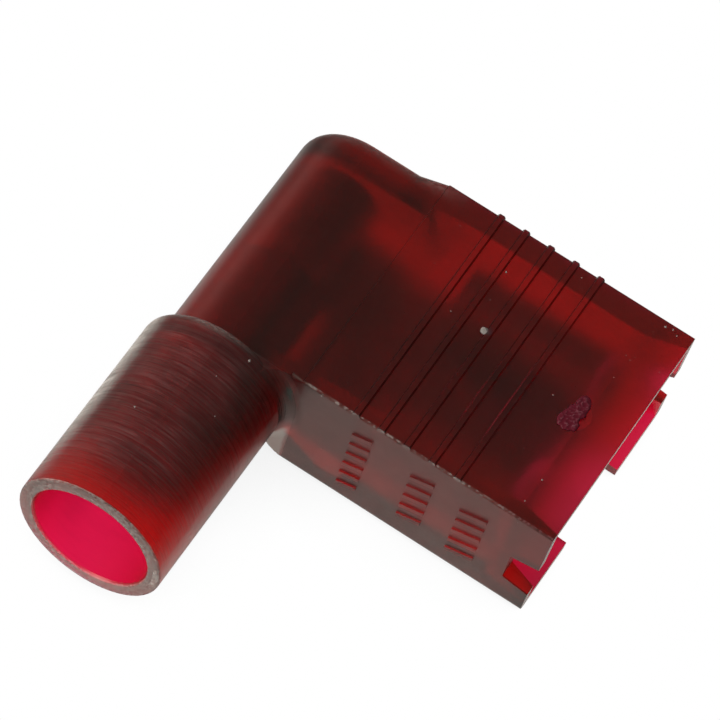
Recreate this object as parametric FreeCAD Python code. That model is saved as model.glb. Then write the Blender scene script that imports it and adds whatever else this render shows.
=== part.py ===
"""Insulated right-angle female spade terminal: moulded nylon housing, folded receptacle and crimp sleeve.

Millimetres. X runs towards the open end that takes the tab, Y runs along the wire tube away from its mouth,
Z runs up from the back wall to the ribbed wall. The origin is the middle of the wire tube's mouth.
"""
import FreeCAD, Part
import math
import os

V = FreeCAD.Vector

# Male tab that the receptacle takes, and the sheet that it is folded from
tab_thickness = 0.80
tab_play = 0.02
sheet = 0.40

# Receptacle: flat floor with both edges rolled up and over, and the flat shoulder behind the rolls
receptacle_width = 7.50
receptacle_len = 7.45
shoulder_len = 1.95
shoulder_far_reach = 0.30
shoulder_near_play = 0.15
roll_end_deg = 184.0
mouth_bevel = 0.35
detent_from_rear = 4.20
detent_r = 0.95
detent_height = 0.30

# Crimp barrel rolled from the same strip, and the joggled neck that joins it to the receptacle
crimp_r_out = 1.25
crimp_len = 4.90
crimp_overhang = 0.42
crimp_seam = 0.06
crimp_funnel = 0.12
neck_width = 3.20
neck_root = 0.30
joggle_clear = 0.31
joggle_run = 0.90
joggle_land = 0.20
joggle_shift = 0.10

# Crimp sleeve around the barrel's entry
sleeve_wall = 0.32
sleeve_mouth_y = 2.70
sleeve_setback = 0.40
sleeve_flare = 0.10
sleeve_play = 0.04
crimp_play = 0.02
barrel_play = 0.05
barrel_end_gap = 0.20

# Wire tube of the housing
wire_bore_r = 2.10
tube_wall = 0.52
tube_len = 7.60
tube_mouth_round = 0.07
tube_shoulder_round = 0.42
rim_chamfer = 0.06
rim_chamfer_len = 0.10
seat_step = 0.16
seat_lead = 0.10
funnel_setback = 0.98
funnel_len = 0.80

# Round back of the housing that holds the crimp barrel
barrel_wall = 0.51
barrel_end_round = 0.72

# Flat box of the housing
side_wall = 0.75
flat_wall = 0.50
receptacle_side_play = 0.05
receptacle_top_gap = 0.717
box_top_rise = 0.05
box_top_round = 0.10
box_back_round = 0.35
box_step_lead = 0.20
box_step_run = 1.00
box_line_run = 0.03
rail_height = 0.80
rail_width = 0.90
rail_play = 0.03

# Swell between the round back and the box, and the fillet between the tube and the near narrow wall
neck_round = 0.30
neck_back_round = 0.60
neck_curve = 0.60
neck_heel_run = 0.80
neck_heel_depth = 0.22
web_round = 0.55
web_root = 0.60
web_trim = 0.30
pocket_clear = 0.05
pocket_run = 1.20

# Open end of the box: lead-in, notches of the two narrow walls, recess of the back wall
mouth_setback = 1.70
end_slant = 0.09
lead_in_depth = 1.45
lead_in_side_wall = 0.38
lead_in_flat_wall = 0.36
notch_depth = 1.05
notch_height = 1.36
notch_mouth_height = 1.78
recess_depth = 1.55
recess_width = 3.30

# Grip ribs across both flat walls
rib_count = 5
rib_start = 1.98
rib_pitch = 0.947
rib_width = 0.27
rib_crown = 0.17
rib_height = 0.09
back_rib_height = 0.06
rib_root = 0.20

# Moulding gate scar on the ribbed wall
gate_setback = 1.77
gate_off_middle = -0.25
gate_dish_d = 1.16
gate_dish_depth = 0.05
gate_lobe_off = (-0.33, 0.44)
gate_lobe_d = (0.62, 0.46)
gate_lobe_height = 0.045
gate_lobe_taper = 0.06
gate_lobe_root = 0.05

# Plain raised bars in three groups on the near narrow wall
bar_relief = 0.07
bar_root = 0.10
bar_stroke = 0.19
bar_lean = 0.30
bar_pitch = 0.62
bar_group_x = (2.45, 4.75, 6.70)
bar_group_rise = (1.03, 1.38, 1.23)
bar_group_len = (0.72, 0.86, 1.00)
bar_group_count = (6, 5, 5)

# Reach of a cutter past what it cuts, and overlap of solids that become one
over = 1.00
joint = 0.01

# Radii and heights that follow
crimp_r_in = crimp_r_out - sheet
sleeve_r_small = crimp_r_out + crimp_play + sleeve_wall
barrel_r_in = sleeve_r_small + sleeve_play
barrel_r_out = barrel_r_in + barrel_wall
pocket_r = crimp_r_out + barrel_play
seat_bore_r = wire_bore_r - seat_step
sleeve_r_large = seat_bore_r - sleeve_play
tube_r_out = wire_bore_r + tube_wall
roll_r_out = (sheet + tab_thickness + tab_play) / (1 + math.sin(math.radians(roll_end_deg)))
box_height = 2 * (flat_wall + roll_r_out) + rail_height + rail_play + receptacle_top_gap
box_top_z = barrel_r_out + box_top_rise
box_back_z = box_top_z - box_height
in_top_z = box_top_z - flat_wall
in_back_z = box_back_z + flat_wall
heel_z = box_back_z + neck_heel_depth
floor_z = in_back_z + rail_height + rail_play
floor_top_z = floor_z + sheet
tab_mid_z = floor_top_z + tab_thickness / 2
tab_top_z = floor_top_z + tab_thickness + tab_play
roll_top_z = floor_z + 2 * roll_r_out
neck_z = -crimp_r_out
neck_top_z = neck_z + sheet

# Places along Y that follow
box_near_y = tube_len
in_near_y = box_near_y + side_wall
near_edge_y = in_near_y + receptacle_side_play
far_edge_y = near_edge_y + receptacle_width
in_far_y = far_edge_y + receptacle_side_play
box_far_y = in_far_y + side_wall
box_mid_y = (box_near_y + box_far_y) / 2
funnel_y = tube_len - funnel_setback
barrel_bore_y = funnel_y + funnel_len
shoulder_near_y = in_near_y + shoulder_near_play
shoulder_far_y = far_edge_y - roll_r_out + shoulder_far_reach
neck_y = shoulder_far_y - neck_width
crimp_end_y = shoulder_far_y + crimp_overhang
crimp_y = crimp_end_y - crimp_len
sleeve_end_y = neck_y - sleeve_setback
pocket_y = sleeve_end_y + sleeve_play
pocket_end_y = crimp_end_y + barrel_end_gap

# Places along X that follow
joggle_x = sleeve_r_small + joggle_clear
joggle_end_x = joggle_x + joggle_run
receptacle_x = joggle_end_x + joggle_land
roll_x = receptacle_x + shoulder_len
mouth_x = receptacle_x + receptacle_len
box_step_x = receptacle_x - box_step_lead
step_start_x = box_step_x - box_step_run
heel_x = box_step_x - neck_curve
slab_x = heel_x - neck_heel_run
box_end_top_x = mouth_x + mouth_setback
box_end_back_x = box_end_top_x - end_slant
lead_in_x = box_end_top_x - lead_in_depth


def prism(points, direction):
    """Solid swept from a closed outline along a direction."""
    wire = Part.makePolygon([V(*p) for p in points] + [V(*points[0])])
    return Part.Face(wire).extrude(V(*direction))


def cyl_y(radius, y0, y1):
    """Round bar along the tube's axis."""
    return Part.makeCylinder(radius, y1 - y0, V(0, y0, 0), V(0, 1, 0))


def cone_y(r0, r1, y0, y1):
    """Tapered bar along the tube's axis."""
    return Part.makeCone(r0, r1, y1 - y0, V(0, y0, 0), V(0, 1, 0))


def block(x0, x1, y0, y1, z0, z1):
    """Box between two corners."""
    return Part.makeBox(x1 - x0, y1 - y0, z1 - z0, V(x0, y0, z0))


def end_edges(shape, y):
    """Edges of a round bar that lie in the plane at y."""
    return [e for e in shape.Edges if all(abs(v.Point.y - y) < joint for v in e.Vertexes)]


def section(x, y_low, z_low, z_high, rounds):
    """Outline across the box at x, with rounds for its near-low, far-low, far-high and near-high corners."""
    corners = [(y_low, z_low, 1, 1), (box_far_y, z_low, -1, 1)]
    corners += [(box_far_y, z_high, -1, -1), (y_low, z_high, 1, -1)]
    bend = 1 - math.sqrt(0.5)
    marks = []
    for k, (y, z, sy, sz) in enumerate(corners):
        r = rounds[k]
        on_flat = V(x, y + sy * r, z)
        on_side = V(x, y, z + sz * r)
        middle = V(x, y + sy * r * bend, z + sz * r * bend)
        marks.append((on_side, middle, on_flat) if k % 2 == 0 else (on_flat, middle, on_side))
    edges = []
    for k in range(4):
        edges.append(Part.Arc(*marks[k]).toShape())
        edges.append(Part.LineSegment(marks[k][2], marks[(k + 1) % 4][0]).toShape())
    return Part.Wire(edges)


def neck_section(x):
    """Outline across the swell between the round back and the box, at x."""
    neck_rounds = (neck_back_round, barrel_end_round, barrel_end_round, neck_round)
    box_rounds = (box_back_round, box_back_round, box_top_round, box_top_round)
    share = min(1.0, max(0.0, (x - step_start_x) / box_step_run))
    rounds = [a + (b - a) * share for a, b in zip(neck_rounds, box_rounds)]
    left = min(1.0, max(0.0, (box_step_x - x) / neck_curve))
    if x >= heel_x:
        z_low = box_back_z + neck_heel_depth * left ** 2
    else:
        z_low = heel_z + (-barrel_r_out - heel_z) * min(1.0, (heel_x - x) / neck_heel_run)
    z_high = box_top_z if x >= box_step_x else barrel_r_out
    return section(x, box_near_y, z_low, z_high, rounds)


def web():
    """Concave fillet between the tube and the near narrow wall, within the wall's outline."""
    root_r = tube_r_out - web_root
    rim_r = tube_r_out + web_round
    start_y = tube_len - web_round
    far_y = tube_len + web_root
    bend = web_round * math.sqrt(0.5)
    start = V(tube_r_out, start_y, 0)
    end = V(rim_r, tube_len, 0)
    arc = Part.Arc(start, V(rim_r - bend, start_y + bend, 0), end)
    rest = Part.makePolygon([end, V(rim_r, far_y, 0), V(root_r, far_y, 0), V(root_r, start_y, 0), start])
    face = Part.Face(Part.Wire([arc.toShape()] + rest.Edges))
    ring = face.revolve(V(0, 0, 0), V(0, 1, 0), 360)
    low = [(0, web_trim - barrel_r_out), (slab_x, web_trim - barrel_r_out), (heel_x, web_trim + heel_z)]
    far_x = box_step_x + over
    outline = low + [(far_x, web_trim + heel_z), (far_x, barrel_r_out), (0, barrel_r_out)]
    y0 = start_y - over
    return ring.common(prism([(x, y0, z) for x, z in outline], (0, far_y + over - y0, 0)))


def housing_outside():
    """Outer form of the housing without ribs."""
    tube = cyl_y(tube_r_out, 0, tube_len)
    tube = tube.makeFillet(tube_mouth_round, end_edges(tube, 0))
    tube = tube.makeFillet(tube_shoulder_round, end_edges(tube, tube_len))
    back = cyl_y(barrel_r_out, tube_len - over, box_far_y)
    back = back.makeFillet(barrel_end_round, end_edges(back, box_far_y))

    stops = [slab_x, step_start_x, heel_x, heel_x + neck_curve / 3, heel_x + neck_curve * 2 / 3]
    stops += [box_step_x - box_line_run, box_step_x]
    outlines = [neck_section(x) for x in sorted(stops)]
    box_start = outlines[-1]
    slab = Part.Face(outlines[0]).extrude(V(-slab_x, 0, 0))
    swell = Part.makeLoft(outlines, True, True)
    box = Part.Face(box_start).extrude(V(box_end_top_x + over - box_step_x, 0, 0))

    lean = end_slant / box_height * over
    far_x = box_end_top_x + 2 * over
    y0 = box_near_y - over
    end = [(box_end_back_x - lean, y0, box_back_z - over), (far_x, y0, box_back_z - over)]
    end += [(far_x, y0, box_top_z + over), (box_end_top_x + lean, y0, box_top_z + over)]
    box = box.cut(prism(end, (0, box_far_y - box_near_y + 2 * over, 0)))
    return tube.fuse([back, slab, swell, box, web()]).removeSplitter()


def mouth_frame(x, grow):
    """Rectangle across the cavity at x, widened by a multiple of the lead-in's rise."""
    side = grow * (side_wall - lead_in_side_wall)
    flat = grow * (flat_wall - lead_in_flat_wall)
    y0, y1 = in_near_y - side, in_far_y + side
    z0, z1 = in_back_z - flat, in_top_z + flat
    return Part.makePolygon([V(x, y0, z0), V(x, y1, z0), V(x, y1, z1), V(x, y0, z1), V(x, y0, z0)])


def rails():
    """Two low rails in the cavity that carry the receptacle's floor."""
    top = in_back_z + rail_height
    near = block(roll_x, mouth_x, in_near_y - joint, in_near_y + rail_width, in_back_z - joint, top)
    far = block(roll_x, mouth_x, in_far_y - rail_width, in_far_y + joint, in_back_z - joint, top)
    return [near, far]


def housing_inside():
    """Space inside the housing: stepped wire bore, funnel, bores, barrel pocket, cavity and lead-in."""
    mouth = cyl_y(wire_bore_r, -over, sleeve_mouth_y - seat_lead)
    rim = cone_y(wire_bore_r + rim_chamfer, wire_bore_r, 0, rim_chamfer_len)
    seat = cyl_y(seat_bore_r, 0, funnel_y)
    funnel = cone_y(seat_bore_r, barrel_r_in, funnel_y, barrel_bore_y)
    sleeve_bore = cyl_y(barrel_r_in, barrel_bore_y - joint, pocket_y)
    barrel_bore = cyl_y(pocket_r, pocket_y - joint, pocket_end_y)

    slope_x = joggle_x - pocket_clear
    floor_x = joggle_end_x - pocket_clear
    side = [(0, pocket_r), (slope_x, pocket_r), (joggle_end_x, pocket_r)]
    side += [(joggle_end_x, floor_z - pocket_clear), (floor_x, floor_z - pocket_clear)]
    side += [(slope_x, -pocket_r), (0, -pocket_r)]
    pocket = prism([(x, in_near_y, z) for x, z in side], (0, pocket_end_y - in_near_y, 0))
    cavity_x = joggle_end_x - joint
    side = [(cavity_x, pocket_r), (cavity_x + pocket_run, in_top_z), (lead_in_x, in_top_z)]
    side += [(lead_in_x, in_back_z), (cavity_x + pocket_run, in_back_z), (cavity_x, floor_z - pocket_clear)]
    cavity = prism([(x, in_near_y, z) for x, z in side], (0, in_far_y - in_near_y, 0))
    frames = [mouth_frame(lead_in_x, 0), mouth_frame(lead_in_x + 2 * lead_in_depth, 2)]
    lead_in = Part.makeLoft(frames, True, True)
    bores = [rim, seat, funnel, sleeve_bore, barrel_bore]
    return mouth.fuse(bores + [pocket, cavity, lead_in]).cut(rails())


def mouth_cuts():
    """Side notches at the tab's height and the recess of the back wall, at the open end."""
    notch_x = box_end_top_x - notch_depth
    far_x = box_end_top_x + over
    slope = (notch_mouth_height - notch_height) / 2 / notch_depth
    inner = notch_height / 2
    outer = inner + slope * (far_x - notch_x)
    y0 = box_near_y - over
    outline = [(notch_x, y0, tab_mid_z - inner), (far_x, y0, tab_mid_z - outer)]
    outline += [(far_x, y0, tab_mid_z + outer), (notch_x, y0, tab_mid_z + inner)]
    notches = prism(outline, (0, box_far_y - box_near_y + 2 * over, 0))
    y1 = box_mid_y - recess_width / 2
    recess_x = box_end_top_x - recess_depth
    recess = block(recess_x, far_x, y1, y1 + recess_width, box_back_z - over, in_back_z + joint)
    return notches.fuse(recess)


def rib(x, z, rise, y0, y1):
    """One grip rib with sloping flanks, standing on a flat wall by rise."""
    half = rib_width / 2
    crown = rib_crown / 2
    root = z - math.copysign(rib_root, rise)
    top = z + rise
    outline = [(x - half, y0, root), (x - half, y0, z), (x - crown, y0, top)]
    outline += [(x + crown, y0, top), (x + half, y0, z), (x + half, y0, root)]
    return prism(outline, (0, y1 - y0, 0))


def ribs():
    """Grip ribs on the ribbed wall and on the back wall."""
    inset = box_back_round - back_rib_height
    made = []
    for k in range(rib_count):
        x = box_step_x + rib_start + k * rib_pitch
        made.append(rib(x, box_top_z, rib_height, box_near_y, box_far_y))
        made.append(rib(x, box_back_z, -back_rib_height, box_near_y + inset, box_far_y - inset))
    return made


def raised_bars():
    """Plain leaning bars in three groups on the near narrow wall."""
    made = []
    stroke = bar_stroke / 2
    y0 = box_near_y + bar_root
    for start, rise, length, count in zip(bar_group_x, bar_group_rise, bar_group_len, bar_group_count):
        x0 = box_step_x + start - length / 2
        x1 = x0 + length
        tilt = bar_lean * length / 2
        for k in range(count):
            z = box_back_z + rise + k * bar_pitch
            outline = [(x0, y0, z - tilt - stroke), (x1, y0, z + tilt - stroke)]
            outline += [(x1, y0, z + tilt + stroke), (x0, y0, z - tilt + stroke)]
            made.append(prism(outline, (0, -bar_root - bar_relief, 0)))
    return made


def gate_scar(body):
    """Shallow dish with the two lobes of the broken gate across its middle."""
    x = box_end_top_x - gate_setback
    y = box_mid_y + gate_off_middle
    ball_r = ((gate_dish_d / 2) ** 2 + gate_dish_depth ** 2) / (2 * gate_dish_depth)
    ball = Part.makeSphere(ball_r, V(x, y, box_top_z + ball_r - gate_dish_depth))
    depth = gate_dish_depth + gate_lobe_root
    lobes = []
    for off, d in zip(gate_lobe_off, gate_lobe_d):
        foot = V(x, y + off, box_top_z - depth)
        lobes.append(Part.makeCone(d / 2, d / 2 - gate_lobe_taper, gate_lobe_height + depth, foot))
    return body.cut(ball).fuse(lobes)


def make_housing():
    """Moulded nylon housing."""
    body = housing_outside().fuse(ribs()).fuse(raised_bars())
    body = gate_scar(body)
    return body.cut(housing_inside()).cut(mouth_cuts()).removeSplitter()


def roll_arc(sign, radius):
    """Start, middle and end of one rolled edge's arc, on the side given by sign."""
    y = sign * (receptacle_width / 2 - roll_r_out)
    z = floor_z + roll_r_out
    spots = []
    for deg in (-90, (roll_end_deg - 90) / 2, roll_end_deg):
        a = math.radians(deg)
        spots.append(V(roll_x, box_mid_y + y + sign * radius * math.cos(a), z + radius * math.sin(a)))
    return spots


def receptacle_section():
    """Section of the folded strip: flat floor with both edges rolled up and over."""
    far_out = roll_arc(1, roll_r_out)
    far_in = roll_arc(1, roll_r_out - sheet)
    near_out = roll_arc(-1, roll_r_out)
    near_in = roll_arc(-1, roll_r_out - sheet)
    edges = [Part.LineSegment(near_out[0], far_out[0]).toShape(), Part.Arc(*far_out).toShape()]
    edges += [Part.LineSegment(far_out[2], far_in[2]).toShape(), Part.Arc(*far_in).toShape()]
    edges += [Part.LineSegment(far_in[0], near_in[0]).toShape(), Part.Arc(*near_in).toShape()]
    edges += [Part.LineSegment(near_in[2], near_out[2]).toShape(), Part.Arc(*near_out).toShape()]
    return Part.Face(Part.Wire(Part.__sortEdges__(edges)))


def make_receptacle():
    """Rolled receptacle with its bevelled mouth and detent dimple."""
    body = receptacle_section().extrude(V(mouth_x - roll_x, 0, 0))
    bevel_x = mouth_x - mouth_bevel
    high = roll_top_z + over
    bevel = [(bevel_x, 0, roll_top_z), (bevel_x, 0, high), (mouth_x + over, 0, high)]
    bevel += [(mouth_x + over, 0, tab_top_z), (mouth_x, 0, tab_top_z)]
    body = body.cut(prism(bevel, (0, box_far_y, 0)))

    x = receptacle_x + detent_from_rear
    ball_r = (detent_r ** 2 + detent_height ** 2) / (2 * detent_height)
    middle = V(x, box_mid_y, floor_top_z + detent_height - ball_r)
    above = Part.makeCylinder(detent_r + joint, detent_height + over, V(x, box_mid_y, floor_top_z - joint))
    dimple = Part.makeSphere(ball_r, middle).common(above)
    return body.fuse(dimple).cut(Part.makeSphere(ball_r - sheet, middle))


def make_neck():
    """Flat shoulder behind the rolls, joggled up to the neck that runs under the barrel."""
    root_x = roll_x + neck_root
    side = [(0, neck_z), (joggle_x, neck_z), (joggle_end_x, floor_z), (root_x, floor_z)]
    side += [(root_x, floor_top_z), (joggle_end_x + joggle_shift, floor_top_z)]
    side += [(joggle_x + joggle_shift, neck_top_z), (0, neck_top_z)]
    plate = prism([(x, shoulder_near_y, z) for x, z in side], (0, shoulder_far_y - shoulder_near_y, 0))
    y0 = shoulder_near_y - over
    beside_sleeve = block(-over, sleeve_r_small, y0, neck_y, neck_z - over, neck_top_z + over)
    roll_edge_y = near_edge_y + roll_r_out
    under_roll = block(roll_x, root_x + over, y0, roll_edge_y, floor_z - over, floor_top_z + over)
    return plate.cut([beside_sleeve, under_roll])


def make_barrel():
    """Crimp barrel rolled from the end of the neck, with its seam on the neck's upper face."""
    y0 = crimp_y - over
    y1 = crimp_end_y + over
    tube = cyl_y(crimp_r_out, crimp_y, crimp_end_y).cut(cyl_y(crimp_r_in, y0, y1))
    tube = tube.cut(cone_y(crimp_r_in + crimp_funnel, crimp_r_in, crimp_y, crimp_y + 2 * crimp_funnel))
    return tube.cut(block(0, crimp_r_out + over, y0, y1, neck_top_z, neck_top_z + crimp_seam))


def make_terminal():
    """The one folded strip."""
    return make_receptacle().fuse([make_neck(), make_barrel()]).removeSplitter()


def make_sleeve():
    """Metal sleeve around the barrel's entry, widened by a cone inside the wire tube."""
    small_in = crimp_r_out + crimp_play
    large_in = sleeve_r_large - sleeve_wall
    cone_y0 = funnel_y - sleeve_play
    cone_y1 = barrel_bore_y - sleeve_play
    outline = [(large_in + sleeve_flare, sleeve_mouth_y), (sleeve_r_large, sleeve_mouth_y)]
    outline += [(sleeve_r_large, cone_y0), (sleeve_r_small, cone_y1), (sleeve_r_small, sleeve_end_y)]
    outline += [(small_in, sleeve_end_y), (small_in, cone_y1), (large_in, cone_y0)]
    outline.append((large_in, sleeve_mouth_y + sleeve_flare))
    spots = [V(x, y, 0) for x, y in outline]
    face = Part.Face(Part.makePolygon(spots + [spots[0]]))
    return face.revolve(V(0, 0, 0), V(0, 1, 0), 360)


os.makedirs("parts", exist_ok=True)
make_housing().exportStep("parts/insulating_housing.step")
make_terminal().exportStep("parts/receptacle_terminal.step")
make_sleeve().exportStep("parts/crimp_sleeve.step")
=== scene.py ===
"""Looks of the insulated right-angle spade terminal: translucent red nylon over tinned metal.

Metres, in the part's own frame: X towards the open end, Y along the wire tube, Z up through the ribbed wall.
"""
import math
import random

import bmesh
import bpy
from mathutils import Matrix, Vector
from mathutils import noise as turbulence


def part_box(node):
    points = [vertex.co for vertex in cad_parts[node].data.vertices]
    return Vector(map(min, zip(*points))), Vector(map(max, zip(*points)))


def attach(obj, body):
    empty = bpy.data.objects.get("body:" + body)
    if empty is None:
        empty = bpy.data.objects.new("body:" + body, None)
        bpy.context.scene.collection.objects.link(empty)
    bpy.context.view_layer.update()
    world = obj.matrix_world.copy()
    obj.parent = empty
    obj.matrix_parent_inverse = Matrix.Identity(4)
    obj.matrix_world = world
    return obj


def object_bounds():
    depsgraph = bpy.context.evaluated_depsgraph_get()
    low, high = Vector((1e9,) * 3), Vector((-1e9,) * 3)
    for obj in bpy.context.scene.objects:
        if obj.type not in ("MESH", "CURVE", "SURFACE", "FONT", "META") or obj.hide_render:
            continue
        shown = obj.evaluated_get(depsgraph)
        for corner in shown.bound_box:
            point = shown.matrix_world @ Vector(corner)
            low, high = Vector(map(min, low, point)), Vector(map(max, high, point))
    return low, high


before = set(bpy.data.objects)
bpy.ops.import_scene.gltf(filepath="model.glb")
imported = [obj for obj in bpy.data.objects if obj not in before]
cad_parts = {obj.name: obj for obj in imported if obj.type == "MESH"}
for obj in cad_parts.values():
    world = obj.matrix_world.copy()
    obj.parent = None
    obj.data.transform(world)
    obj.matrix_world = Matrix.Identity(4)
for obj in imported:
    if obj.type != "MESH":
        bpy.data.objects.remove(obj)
cad_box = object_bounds()

MM = 0.001

# Camera, fitted to the photograph
camera_at = Vector((27.282, -80.778, 159.287)) * MM
camera_look = Vector((-0.12835, 0.49362, -0.86015))
camera_up = Vector((-0.53039, 0.69870, 0.48011))
camera_lens = 289.07
camera_film = 36
camera_near = 0.01
camera_far = 10


def add_camera():
    """Long lens that looks down on the ribbed wall from beside the tube's mouth."""
    data = bpy.data.cameras.new("camera")
    data.lens = camera_lens
    data.sensor_width = camera_film
    data.clip_start = camera_near
    data.clip_end = camera_far
    back = -camera_look.normalized()
    right = camera_up.cross(back).normalized()
    up = back.cross(right)
    turn = Matrix((right, up, back)).transposed().to_4x4()
    obj = bpy.data.objects.new("camera", data)
    obj.matrix_world = Matrix.Translation(camera_at) @ turn
    bpy.context.scene.collection.objects.link(obj)
    bpy.context.scene.camera = obj


class Nodes:
    """Short way to add nodes to a tree and link them."""

    def __init__(self, tree):
        self.tree = tree
        tree.nodes.clear()

    def add(self, kind, settings=None, **inputs):
        """New node with its settings, and its inputs set or linked by name."""
        node = self.tree.nodes.new(kind)
        for key, value in (settings or {}).items():
            setattr(node, key, value)
        for key, value in inputs.items():
            self.put(node, key.replace("_", " "), value)
        return node

    def put(self, node, name, value):
        """Sets or links one input, given by its name, or by its number as i0, i1 and so on."""
        by_number = name[0] == "i" and name[1:].isdigit()
        socket = node.inputs[int(name[1:]) if by_number else name]
        if isinstance(value, bpy.types.NodeSocket):
            self.tree.links.new(value, socket)
        else:
            socket.default_value = value

    def math(self, operation, a, b=0.0, clamp=False):
        settings = {"operation": operation, "use_clamp": clamp}
        return self.add("ShaderNodeMath", settings, i0=a, i1=b).outputs[0]

    def chain(self, operation, values):
        """One operation over all values, from the first on."""
        result = values[0]
        for value in values[1:]:
            result = self.math(operation, result, value)
        return result

    def times(self, *values):
        return self.chain("MULTIPLY", values)

    def plus(self, *values):
        return self.chain("ADD", values)

    def most(self, *values):
        return self.chain("MAXIMUM", values)

    def over(self, value, limit):
        """1 where value is over the limit, else 0."""
        return self.math("GREATER_THAN", value, limit)

    def under(self, value, limit):
        """1 where value is under the limit, else 0."""
        return self.math("LESS_THAN", value, limit)

    def rest(self, value):
        """What value leaves of 1, and not less than 0."""
        return self.math("SUBTRACT", 1.0, value, True)

    def across(self, a, b):
        """Length of the diagonal of a and b."""
        return self.math("SQRT", self.plus(self.times(a, a), self.times(b, b)))

    def step(self, value, span):
        """0 at the span's first value and 1 at its second, smooth between."""
        ramp = self.add("ShaderNodeMapRange", {"interpolation_type": "SMOOTHSTEP"}, Value=value)
        self.put(ramp, "From Min", span[0])
        self.put(ramp, "From Max", span[1])
        return ramp.outputs[0]

    def step_mm(self, length, span):
        """The same for a length in metres, with the span in millimetres."""
        return self.step(length, (span[0] * MM, span[1] * MM))

    def spread(self, share, limits):
        """The first limit where share is 0, and the second where it is 1."""
        return self.plus(self.times(share, limits[1] - limits[0]), limits[0])

    def split(self, vector):
        """X, Y and Z of a vector."""
        return self.add("ShaderNodeSeparateXYZ", Vector=vector).outputs

    def place(self):
        """Point in the object's own frame."""
        return self.add("ShaderNodeTexCoord").outputs["Object"]

    def noise(self, where, steps, stretch=(1, 1, 1), detail=2.0, shift=0.0):
        """Value between 0 and 1 with so many steps a millimetre along each axis, times its stretch."""
        size = Vector(stretch) * steps / MM
        put = self.add("ShaderNodeMapping", Vector=where, Scale=tuple(size), Location=(shift, shift, shift))
        return self.add("ShaderNodeTexNoise", Vector=put.outputs[0], Scale=1.0, Detail=detail).outputs["Fac"]

    def color(self, share, low, high):
        """Colour low where share is 0, and high where it is 1."""
        return self.add("ShaderNodeMix", {"data_type": "RGBA"}, i0=share, i6=low, i7=high).outputs[2]

    def number(self, share, low, high):
        """Number low where share is 0, and high where it is 1."""
        return self.add("ShaderNodeMix", {"data_type": "FLOAT"}, i0=share, i2=low, i3=high).outputs[0]

    def bump(self, relief, height):
        """Normal bent by the height, for a relief of strength and distance."""
        return self.add("ShaderNodeBump", Strength=relief[0], Distance=relief[1], Height=height).outputs[0]

    def surface(self, shader):
        self.add("ShaderNodeOutputMaterial", Surface=shader.outputs[0])


def new_material(name):
    """Empty material and its nodes."""
    mat = bpy.data.materials.new(name)
    mat.use_nodes = True
    return mat, Nodes(mat.node_tree)


# Places on the housing
house_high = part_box("insulating_housing")[1]
tube_end_y = 7.60 * MM
tube_skin_r = 2.35 * MM
wall_x = 2.90 * MM
web_r = 3.30 * MM
web_run = 0.60 * MM
face_z = 2.19 * MM
rim_reach = 0.05 * MM
edge_reach = 0.05 * MM
end_reach = 0.30 * MM
rib_reach = 0.06 * MM
end_facing = 0.9
flank_facing = 0.5

# Spans in millimetres over which a place fades in, from 0 at the first value to 1 at the second
tube_x = (2.9, 2.3)
past_mouth_y = (0.2, 2.6)
brushed_x = (1.9, 0.6)
left_y = (-1.0, 4.0)
right_side_y = (1.5, 4.0)
shoulder_y = (7.15, 7.40)
shoulder_x = (1.6, -0.4)
crown_y = (15.9, 16.7)
crown_x = (4.0, 2.0)
far_x = (6.0, 3.0)
far_y = (11.0, 13.5)
web_z = (-0.9, 0.1)
web_x = (2.2, 2.6)
swell_foot_x = (2.95, 2.72)
swell_foot_z = (-0.5, -1.3)
swell_foot_off_wall = (0.30, 0.10)
wall_foot_z = (-0.7, -2.0)
highlight_off_edge = (0.10, 0.025)
open_end_x = (9.6, 11.2)
near_corner_x = (10.5, 12.5)
near_corner_y = (12.5, 8.5)
inner_y = (1.4, 4.2)
inner_x = (12.6, 10.6)
upper_z = (-0.8, 0.4)

# The same around the tube's axis, where -1 is its left side and 1 its right side
back_turn = (-0.45, -0.90)
left_turn = (-0.66, -1.0)
left_side_turn = (-0.25, -0.60)
right_turn = (0.93, 1.0)
right_side_turn = (0.45, 0.75)

# Patterns: noise steps a millimetre, stretch, detail, shift, and the span of the noise over which they rise
line_turn = 0.7
patterns = {
    "streaks": (1.0, (line_turn, 14.0, line_turn), 2.0, 0.0, (0.36, 0.80)),
    "fine_streaks": (1.0, (line_turn, 24.0, line_turn), 2.0, 7.0, (0.42, 0.78)),
    "dark_streaks": (1.0, (line_turn, 15.0, line_turn), 2.0, 19.0, (0.52, 0.72)),
    "worn": (1.0, (3.0, 14.0, 3.0), 3.0, 13.0, (0.38, 0.66)),
    "patches": (0.6, (1, 1, 1), 3.0, 3.0, (0.34, 0.62)),
    "speckle": (9.0, (1, 1, 1), 2.0, 1.0, (0.40, 0.66)),
    "clouds": (0.8, (1, 1, 1), 4.0, 11.0, (0.35, 0.65)),
}
level_pattern = (2.5, (1, 1, 1), 4.0, 5.0)
worn_share = 0.10

# Factor that a pattern or place puts on the haze and the painted highlights, where it is 0 and where it is 1
patches_range = (0.45, 1.0)
lines_range = (0.25, 1.0)
brushed_range = (0.3, 1.0)
left_range = (0.5, 1.2)
left_highlight_speckle = (0.75, 1.10)
dots_range = (0.5, 1.5)

# Share of white haze in the nylon's surface: brushed on the tube, and elsewhere painted highlights
brush_haze = 0.17
swell_foot_highlight = 0.90
left_flank_highlight = 0.95
dotted_highlights = {
    "rim": 0.22,
    "shoulder": 0.24,
    "end_face": 0.60,
    "right": 0.45,
    "wall_foot": 0.14,
    "crown": 0.16,
}
# Painted highlight along the near top edge of the box
worn_edge_haze = 0.60
wall_haze = 0.035
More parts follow.
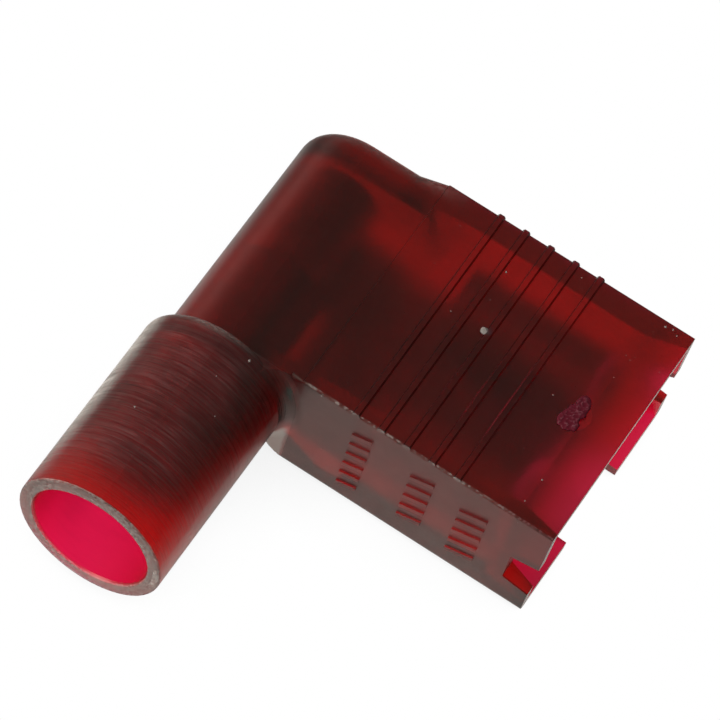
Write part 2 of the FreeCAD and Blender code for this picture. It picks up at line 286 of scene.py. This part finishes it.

# Painted shade, as a share by which the surface is darkened: even and cloudy, each off the tube and on it,
# and by place; dark streaks on the tube add to it
even_painted_shade = (0.20, 0.06)
cloudy_painted_shade = (0.10, 0.26)
dark_streaks_dull = 0.22
# Painted shade by place: the round back, the tube's sides, the near wall and its foot, the far part, the web
# and the near corner
place_painted_shade = {
    "back": 0.30,
    "left_side": 0.30,
    "wall": 0.24,
    "wall_foot": 0.30,
    "right_side": 0.35,
    "far": 0.12,
    "web": 0.60,
    "near_corner": 0.46,
}
# Painted shade that draws the steep rib flanks as dark lines
rib_flank_painted_shade = 0.90

# Colours of the surface and the black of the painted shade, and how much its pale places, where highlights
# are painted, and its lines take from the deep one
nylon_clear = (1.0, 0.95, 0.88, 1)
nylon_open_end = (0.82, 0.34, 0.36, 1)
nylon_deep = (1.0, 0.10, 0.15, 1)
# Black that the painted shade mixes into the colour
painted_shade_black = (0.0, 0.0, 0.0, 1)
pale_takes = 4.0
lines_take = 0.45

# Gloss and relief of the surface, and absorption on the way through the nylon
nylon_rough = (0.30, 0.42)
tube_rough = 0.12
nylon_relief = (0.2, 0.006 * MM)
lines_height = 1.2
level_height = 2.0
nylon_ior = 1.53
# Warm tint on every reflection, standing in for warm light
warm_light_tint = (1.0, 0.95, 0.84, 1)
nylon_sheen = 0.08
nylon_sheen_rough = 0.35
nylon_passes = (0.962, 0.0, 0.46, 1)
nylon_density = 8500.0


def housing_places(n, where):
    """Places on the housing by name, each as a value from 0 to 1."""
    x, y, z = n.split(where)
    facing_x = n.split(n.add("ShaderNodeNewGeometry").outputs["True Normal"])[0]
    r = n.across(x, z)
    turn = n.math("DIVIDE", x, r)
    past_tube = n.math("SUBTRACT", y, tube_end_y)
    off_wall = n.math("ABSOLUTE", past_tube)
    off_edge = n.across(past_tube, n.math("SUBTRACT", z, face_z))

    # Tube
    at = {"rim": n.under(y, rim_reach)}
    at["tube"] = n.times(n.over(r, tube_skin_r), n.under(y, tube_end_y), n.step_mm(x, tube_x))
    at["past_mouth"] = n.step_mm(y, past_mouth_y)
    at["brushed"] = n.step_mm(x, brushed_x)
    at["left"] = n.times(at["tube"], n.step(turn, left_turn), n.step_mm(y, left_y))
    at["left_side"] = n.times(at["tube"], n.step(turn, left_side_turn), at["past_mouth"])
    at["right"] = n.times(at["tube"], n.step(turn, right_turn))
    at["right_side"] = n.times(at["tube"], n.step(turn, right_side_turn), n.step_mm(y, right_side_y))
    at["shoulder"] = n.times(at["tube"], n.step_mm(y, shoulder_y), n.step_mm(x, shoulder_x))

    # Round back, and the swell between it, the tube and the box
    at["back"] = n.times(n.over(y, tube_end_y), n.step(turn, back_turn))
    at["crown"] = n.times(n.step_mm(y, crown_y), n.step_mm(x, crown_x))
    at["far"] = n.times(n.step_mm(x, far_x), n.step_mm(y, far_y))
    in_run = n.times(n.under(y, tube_end_y - edge_reach), n.over(y, tube_end_y - web_run))
    at["web"] = n.times(n.step_mm(z, web_z), n.step_mm(x, web_x), n.under(r, web_r), in_run)
    # Foot of the swell by the near wall, where a highlight is painted
    at["swell_foot"] = n.times(n.step_mm(x, swell_foot_x), n.step_mm(z, swell_foot_z))
    at["swell_foot"] = n.times(at["swell_foot"], n.step_mm(off_wall, swell_foot_off_wall))

    # Box, with its near wall, its edge and its open end
    at["box"] = n.over(x, wall_x)
    at["wall"] = n.times(at["box"], n.under(off_wall, edge_reach))
    at["wall_foot"] = n.times(at["wall"], n.step_mm(z, wall_foot_z))
    # Near top edge of the box, where a highlight is painted
    at["worn_edge"] = n.times(at["box"], n.step_mm(off_edge, highlight_off_edge))
    at["end_face"] = n.times(n.over(facing_x, end_facing), n.over(x, house_high[0] - end_reach))
    at["open_end"] = n.times(n.step_mm(x, open_end_x), n.rest(at["end_face"]))
    at["near_corner"] = n.times(n.step_mm(x, near_corner_x), n.step_mm(y, near_corner_y))
    # Steep rib flanks, drawn dark with painted shade
    steep = n.over(n.math("ABSOLUTE", facing_x), flank_facing)
    at["rib_flank"] = n.times(steep, n.over(z, face_z - rib_reach), n.over(y, tube_end_y))

    # Inside, away from the tube's mouth and the open end: where even and cloudy painted shade falls on the
    # upper side
    at["inner"] = n.times(n.step_mm(y, inner_y), n.step_mm(x, inner_x))
    at["upper"] = n.most(at["box"], n.step_mm(z, upper_z))
    return at


def housing_marks(n, where):
    """Brush marks, speckle and soft patches by name, each as a value from 0 to 1."""
    marks = {"level": n.noise(where, *level_pattern)}
    for name, (steps, stretch, detail, shift, span) in patterns.items():
        marks[name] = n.step(n.noise(where, steps, stretch, detail, shift), span)
    marks["lines"] = n.most(marks["streaks"], marks["fine_streaks"], n.times(marks["worn"], worn_share))
    return marks


def housing_haze_and_painted_highlights(n, at, marks):
    """Share of white haze in the surface: brush marks on the tube, painted highlights on the swell foot, the
    left flank, the dotted places and the near top edge, and a faint haze on the near wall.
    """
    brush = n.spread(n.times(marks["lines"], n.spread(marks["patches"], patches_range)), lines_range)
    brush = n.times(brush, at["tube"], at["past_mouth"], n.spread(at["brushed"], brushed_range))
    haze = n.most(n.times(brush, brush_haze), n.times(at["swell_foot"], swell_foot_highlight))
    haze = n.most(haze, n.times(at["left"], n.spread(marks["speckle"], left_highlight_speckle), left_flank_highlight))
    dots = n.spread(marks["speckle"], dots_range)
    for name, share in dotted_highlights.items():
        haze = n.most(haze, n.times(at[name], dots, share))
    haze = n.most(haze, n.times(at["worn_edge"], marks["speckle"], worn_edge_haze))
    return n.most(haze, n.times(at["wall"], wall_haze))


def housing_painted_shade(n, at, marks):
    """Share of painted shade by which the surface is darkened, kept off the painted highlights on the left
    flank, the crown and the swell foot.
    """
    # Even and cloudy painted shade inside, on the upper side
    clouds = n.times(marks["clouds"], n.spread(at["tube"], cloudy_painted_shade))
    shade_share = n.times(at["inner"], at["upper"], n.plus(clouds, n.spread(at["tube"], even_painted_shade)))
    shade_share = n.plus(shade_share, n.times(marks["dark_streaks"], at["tube"], dark_streaks_dull))
    for name, share in place_painted_shade.items():
        shade_share = n.plus(shade_share, n.times(at[name], share))
    shade_share = n.times(shade_share, n.rest(n.most(at["left"], at["crown"], at["swell_foot"])))
    return n.most(shade_share, n.times(at["rib_flank"], rib_flank_painted_shade))


def housing_tint(n, at, marks):
    """Colour of the surface, redder at the open end, deeper along the tube, and darkened towards black by
    the painted shade.
    """
    clear = n.color(at["open_end"], nylon_clear, nylon_open_end)
    # Places where highlights are painted, kept clear of the deep tint
    pale = n.most(at["left"], at["right"], at["shoulder"], at["rim"])
    deep = n.times(at["tube"], at["upper"], n.rest(n.times(pale, pale_takes)))
    deep = n.times(deep, n.rest(n.times(marks["lines"], lines_take)))
    return n.color(housing_painted_shade(n, at, marks), n.color(deep, clear, nylon_deep), painted_shade_black)


def nylon():
    """Clear dark red nylon whose surface is hazy where it is brushed, worn or rough, with highlights painted
    in as white haze and painted shade in its colour.
    """
    mat, n = new_material("nylon")
    where = n.place()
    at = housing_places(n, where)
    marks = housing_marks(n, where)
    at["left"] = n.times(at["left"], n.spread(marks["lines"], left_range))
    rough = n.plus(n.spread(marks["level"], nylon_rough), n.times(at["tube"], tube_rough))
    height = n.plus(n.times(marks["lines"], at["tube"], lines_height), n.times(marks["level"], level_height))

    shader = n.add("ShaderNodeBsdfPrincipled")
    n.put(shader, "Base Color", housing_tint(n, at, marks))
    n.put(shader, "Roughness", rough)
    n.put(shader, "IOR", nylon_ior)
    n.put(shader, "Specular Tint", warm_light_tint)
    n.put(shader, "Sheen Weight", nylon_sheen)
    n.put(shader, "Sheen Roughness", nylon_sheen_rough)
    n.put(shader, "Transmission Weight", n.math("SUBTRACT", 1.0, housing_haze_and_painted_highlights(n, at, marks)))
    n.put(shader, "Normal", n.bump(nylon_relief, height))
    volume = n.add("ShaderNodeVolumeAbsorption", Color=nylon_passes, Density=nylon_density)
    n.add("ShaderNodeOutputMaterial", Surface=shader.outputs[0], Volume=volume.outputs[0])
    return mat


# Tin plate: mottling and grain in noise steps a millimetre, and painted shade on the sleeve's end face
brass_color = (0.62, 0.60, 0.56)
brass_rough = 0.45
sleeve_color = (0.50, 0.49, 0.47)
sleeve_rough = 0.50
mottle_steps = 3.0
mottle_detail = 4.0
grain_steps = 14.0
grain_shift = 9.0
tin_shade = (0.82, 1.15)
tin_rough_reach = 0.1
tin_relief = (0.3, 0.004 * MM)
end_face_painted_shade = 0.15
shaded_end_reach = 0.04 * MM
sleeve_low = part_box("crimp_sleeve")[0]


def shaded(color, share):
    """Colour times a share, opaque."""
    return (*(share * c for c in color), 1)


def tin(name, color, roughness, shade_to=-1.0):
    """Tin plate with fine mottling, and painted shade on its end face up to shade_to along Y."""
    mat, n = new_material(name)
    where = n.place()
    mottle = n.noise(where, mottle_steps, detail=mottle_detail)
    grain = n.noise(where, grain_steps, shift=grain_shift)
    plate = n.color(mottle, shaded(color, tin_shade[0]), shaded(color, tin_shade[1]))
    # Painted shade on the end face that looks towards the tube's mouth
    shaded_end = n.under(n.split(where)["Y"], shade_to)
    shader = n.add("ShaderNodeBsdfPrincipled", Metallic=1.0)
    n.put(shader, "Base Color", n.color(shaded_end, plate, shaded(color, end_face_painted_shade)))
    n.put(shader, "Roughness", n.spread(mottle, (roughness - tin_rough_reach, roughness + tin_rough_reach)))
    n.put(shader, "Normal", n.bump(tin_relief, grain))
    n.surface(shader)
    return mat


def dress(node, mat):
    """Gives a CAD node its material."""
    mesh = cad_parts[node].data
    mesh.materials.clear()
    mesh.materials.append(mat)


def add_piece(name, work, mat, smooth=False):
    """Mesh from the worked faces, as a piece that rides on the part."""
    mesh = bpy.data.meshes.new(name)
    work.to_mesh(mesh)
    work.free()
    for face in mesh.polygons:
        face.use_smooth = smooth
    mesh.materials.append(mat)
    obj = bpy.data.objects.new(name, mesh)
    bpy.context.scene.collection.objects.link(obj)
    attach(obj, "root")


# Torn gate scar in millimetres, as middles and half-axes of its lobes on the ribbed wall
scar_lobes = ((10.44, 12.31, 0.26, 0.40), (10.36, 11.56, 0.41, 0.37), (10.42, 11.95, 0.30, 0.36))
scar_low = (9.75, 10.95)
scar_high = (11.01, 12.96)
scar_step = 0.03
scar_rise = 0.095
scar_depth = 0.06

# Its outline, ridges and tears, as noise steps a millimetre, layer and strength of the noise
outline_tear = (5, 1.0, 0.45)
ridge_tear = (7, 4.0, 2.2)
fine_tear = (16, 9.0, 1.6)
ridge_share = 0.7
fine_tear_share = 0.3
scar_edge = 0.25
scar_swell = 1.6
scar_least = 0.58

# Its look, with the height over the ribbed wall above which the crests are painted paler as highlights
crest_height = (0.055, 0.092)
crest_steps = 7.0
crest_detail = 3.0
crest_shift = 2.0
crest_span = (0.35, 0.62)
torn_dark = (0.160, 0.008, 0.024, 1)
crest_highlight = (0.32, 0.10, 0.13, 1)
torn_rough = 0.45
torn_specular = 0.25


def torn(x, y, steps, layer, strength):
    """Smooth random value at a point of the ribbed wall."""
    return strength * turbulence.noise(Vector((x * steps, y * steps, layer)))


def scar_height(x, y):
    """Height above the ribbed wall in millimetres, negative outside the torn patch."""
    inside = max(1 - ((x - a) / p) ** 2 - ((y - b) / q) ** 2 for a, b, p, q in scar_lobes)
    inside += torn(x, y, *outline_tear)
    if inside <= 0:
        return -1.0
    ridge = 1 - abs(torn(x, y, *ridge_tear))
    fine = 1 - abs(torn(x, y, *fine_tear))
    crest = max(scar_least, ridge_share * ridge + fine_tear_share * fine)
    return scar_rise * min(1.0, scar_edge + scar_swell * inside) * crest


def torn_nylon():
    """Dark red torn plastic with crests painted paler as highlights."""
    mat, n = new_material("torn_nylon")
    where = n.place()
    high = n.step(n.split(where)["Z"], [face_z + height * MM for height in crest_height])
    ragged = n.step(n.noise(where, crest_steps, detail=crest_detail, shift=crest_shift), crest_span)
    shader = n.add("ShaderNodeBsdfPrincipled", Roughness=torn_rough)
    n.put(shader, "Specular IOR Level", torn_specular)
    n.put(shader, "Base Color", n.color(n.times(high, ragged), torn_dark, crest_highlight))
    n.surface(shader)
    return mat


def add_scar():
    """Torn patch left by the broken gate, raised over its dish in the ribbed wall."""
    columns = round((scar_high[0] - scar_low[0]) / scar_step) + 1
    rows = round((scar_high[1] - scar_low[1]) / scar_step) + 1
    work = bmesh.new()
    grid = {}
    for i in range(columns):
        for j in range(rows):
            x = scar_low[0] + i * scar_step
            y = scar_low[1] + j * scar_step
            rise = scar_height(x, y)
            if rise > 0:
                grid[i, j] = work.verts.new(Vector((x, y, face_z / MM + rise)) * MM)
    for i, j in grid:
        corners = [(i, j), (i + 1, j), (i + 1, j + 1), (i, j + 1)]
        if all(c in grid for c in corners):
            work.faces.new([grid[c] for c in corners])
    loose = [v for v in work.verts if not v.link_faces]
    bmesh.ops.delete(work, geom=loose, context="VERTS")
    low = bmesh.ops.extrude_face_region(work, geom=work.faces[:])
    for v in low["geom"]:
        if isinstance(v, bmesh.types.BMVert):
            v.co.z = face_z - scar_depth * MM
    bmesh.ops.recalc_face_normals(work, faces=work.faces[:])
    add_piece("gate_scar", work, torn_nylon(), smooth=True)


# Dust in millimetres and degrees: (x, y, size) on the ribbed wall, (x, z, size) on the near wall,
# and (angle, y, size) on the tube and on the round back
face_dust = ((6.52, 12.73, 0.230), (5.94, 15.01, 0.045), (5.25, 12.68, 0.030), (8.04, 16.33, 0.030))
face_dust += ((8.60, 15.84, 0.030), (6.76, 14.66, 0.028), (10.76, 9.23, 0.035), (10.70, 8.26, 0.030))
face_dust += ((9.48, 12.07, 0.026), (8.65, 11.13, 0.026), (6.56, 16.62, 0.035), (8.42, 16.62, 0.035))
face_dust += ((11.15, 16.45, 0.050), (11.40, 16.50, 0.040), (11.62, 16.38, 0.035))
wall_dust = ((4.11, -0.83, 0.028), (10.88, 1.96, 0.028), (9.66, 2.10, 0.028), (3.53, 2.08, 0.035))
tube_dust = ((66, 7.10, 0.055), (111, 3.48, 0.045), (78, 5.90, 0.025), (62, 4.80, 0.022))
back_dust = ((66, 14.83, 0.035), (80, 11.60, 0.020))
tube_r = 2.62
back_r = 2.14

# Finest dust, spread over the ribbed wall
dust_seed = 7
fine_dust = 60
fine_dust_size = 0.016
fine_dust_share = (0.5, 1.0)
fine_dust_x = (3.4, 11.9)
fine_dust_y = (7.9, 16.4)

# Shape and look of a crumb
crumb_points = 11
crumb_height = 0.55
dust_steps = 9.0
dust_detail = 3.0
dust_dark = (0.22, 0.17, 0.16, 1)
dust_pale = (0.62, 0.58, 0.54, 1)
dust_rough = 0.7


def dust():
    """Matt pale dust."""
    mat, n = new_material("dust")
    grain = n.noise(n.place(), dust_steps, detail=dust_detail)
    shader = n.add("ShaderNodeBsdfPrincipled", Roughness=dust_rough)
    n.put(shader, "Base Color", n.color(grain, dust_dark, dust_pale))
    n.surface(shader)
    return mat


def add_crumb(work, draw, middle, size):
    """Irregular hull about a point, flatter along Z."""
    points = []
    for _ in range(crumb_points):
        way = Vector((draw.gauss(0, 1), draw.gauss(0, 1), draw.gauss(0, 1))).normalized()
        way.z *= crumb_height
        points.append(work.verts.new((Vector(middle) + way * size) * MM))
    hull = bmesh.ops.convex_hull(work, input=points)
    inner = [v for v in hull["geom_interior"] if isinstance(v, bmesh.types.BMVert)]
    bmesh.ops.delete(work, geom=inner, context="VERTS")


def add_dust():
    """Crumbs of dust that rest on the nylon."""
    draw = random.Random(dust_seed)
    crumbs = [((x, y, face_z / MM), size) for x, y, size in face_dust]
    crumbs += [((x, tube_end_y / MM, z), size) for x, z, size in wall_dust]
    for r, spots in ((tube_r, tube_dust), (back_r, back_dust)):
        for angle, y, size in spots:
            a = math.radians(angle)
            crumbs.append(((r * math.cos(a), y, r * math.sin(a)), size))
    for _ in range(fine_dust):
        size = fine_dust_size * draw.uniform(*fine_dust_share)
        crumbs.append(((draw.uniform(*fine_dust_x), draw.uniform(*fine_dust_y), face_z / MM), size))
    work = bmesh.new()
    for middle, size in crumbs:
        add_crumb(work, draw, middle, size)
    add_piece("dust", work, dust())


warm_tone = (1.0, 0.97, 0.92, 1)
plain_white = (1, 1, 1, 1)

# Floor, and how white it shows: shaded near the part to the camera and through the nylon,
# and dimmer with the distance in millimetres in reflections
floor_gap = 0.01 * MM
floor_z = cad_box[0][2] - floor_gap
floor_corners = ((-1, -1), (1, -1), (1, 1), (-1, 1))
floor_white = (0.9, 0.9, 0.9, 1)
floor_middle = Vector((*((cad_box[0][k] + cad_box[1][k]) / 2 for k in (0, 1)), floor_z))
shade_samples = 8
shade_reach = 4 * MM
shade_span = (0.0, 0.65)
level_to_camera = (0.83, 1.0)
level_through = (0.95, 1.0)
mirror_span = (12, 22)
level_mirrored = (0.80, 0.15)


def light_path(n):
    """1 on rays of the camera, of reflections and of transmission, as three values."""
    path = n.add("ShaderNodeLightPath").outputs
    return path["Is Camera Ray"], path["Is Glossy Ray"], path["Is Transmission Ray"]


def warm_or_white(n, plain):
    """White where plain is 1, and the warm tone of the studio light elsewhere."""
    return n.color(plain, warm_tone, plain_white)


def floor_material():
    """Floor that shows white to the camera, in reflections and through the nylon, and is lit elsewhere."""
    mat, n = new_material("floor")
    lit = n.add("ShaderNodeBsdfDiffuse", Color=floor_white)
    near = n.add("ShaderNodeAmbientOcclusion", {"samples": shade_samples}, Distance=shade_reach)
    open_share = n.step(near.outputs["AO"], shade_span)
    here = n.add("ShaderNodeNewGeometry").outputs["Position"]
    away = n.add("ShaderNodeVectorMath", {"operation": "DISTANCE"}, i0=here, i1=floor_middle)
    far = n.step_mm(away.outputs["Value"], mirror_span)
    camera, glossy, passed = light_path(n)
    level = n.number(passed, n.spread(far, level_mirrored), n.spread(open_share, level_through))
    level = n.number(camera, level, n.spread(open_share, level_to_camera))
    white = n.add("ShaderNodeEmission", Color=warm_or_white(n, n.most(passed, camera)), Strength=level)
    seen = n.most(camera, glossy, passed)
    n.surface(n.add("ShaderNodeMixShader", i0=seen, i1=lit.outputs[0], i2=white.outputs[0]))
    return mat


def add_floor():
    """Square floor just under the part."""
    mesh = bpy.data.meshes.new("floor")
    mesh.from_pydata([(x, y, floor_z) for x, y in floor_corners], [], [(0, 1, 2, 3)])
    mesh.materials.append(floor_material())
    obj = bpy.data.objects.new("floor", mesh)
    bpy.context.scene.collection.objects.link(obj)


# World that is dim but for one bright side near the horizon, and the soft lamp there
world_level = (0.18, 1.0)
bright_side = (-0.80, -0.60)
bright_lean = (-0.3, 0.5)
bright_z = (0.40, 0.05)
lamp_at = Vector((-0.30, -0.20, 0.30))
lamp_size = 0.25
lamp_power = 1.2


def add_lamp():
    """Square soft lamp that looks at the part."""
    data = bpy.data.lights.new("lamp", "AREA")
    data.size = lamp_size
    data.energy = lamp_power
    data.color = warm_tone[:3]
    obj = bpy.data.objects.new("lamp", data)
    obj.matrix_world = Matrix.Translation(lamp_at) @ lamp_at.to_track_quat("Z", "Y").to_matrix().to_4x4()
    bpy.context.scene.collection.objects.link(obj)


def add_world():
    """World that shows white to the camera, and lights the part mostly from one side."""
    world = bpy.data.worlds.new("world")
    bpy.context.scene.world = world
    world.use_nodes = True
    n = Nodes(world.node_tree)
    x, y, z = n.split(n.add("ShaderNodeTexCoord").outputs["Generated"])
    lean = n.plus(n.times(x, bright_side[0]), n.times(y, bright_side[1]))
    side = n.times(n.step(lean, bright_lean), n.step(z, bright_z))
    camera = light_path(n)[0]
    level = n.most(n.spread(side, world_level), camera)
    back = n.add("ShaderNodeBackground", Strength=level, Color=warm_or_white(n, camera))
    n.add("ShaderNodeOutputWorld", Surface=back.outputs[0])


dress("insulating_housing", nylon())
dress("receptacle_terminal", tin("tinned_brass", brass_color, brass_rough))
# The sleeve's end face, which faces the tube's mouth, gets painted shade
dress("crimp_sleeve", tin("tinned_sleeve", sleeve_color, sleeve_rough, sleeve_low[1] + shaded_end_reach))
add_camera()
add_scar()
add_dust()
add_floor()
add_lamp()
add_world()

bpy.context.scene.view_settings.view_transform = "Standard"
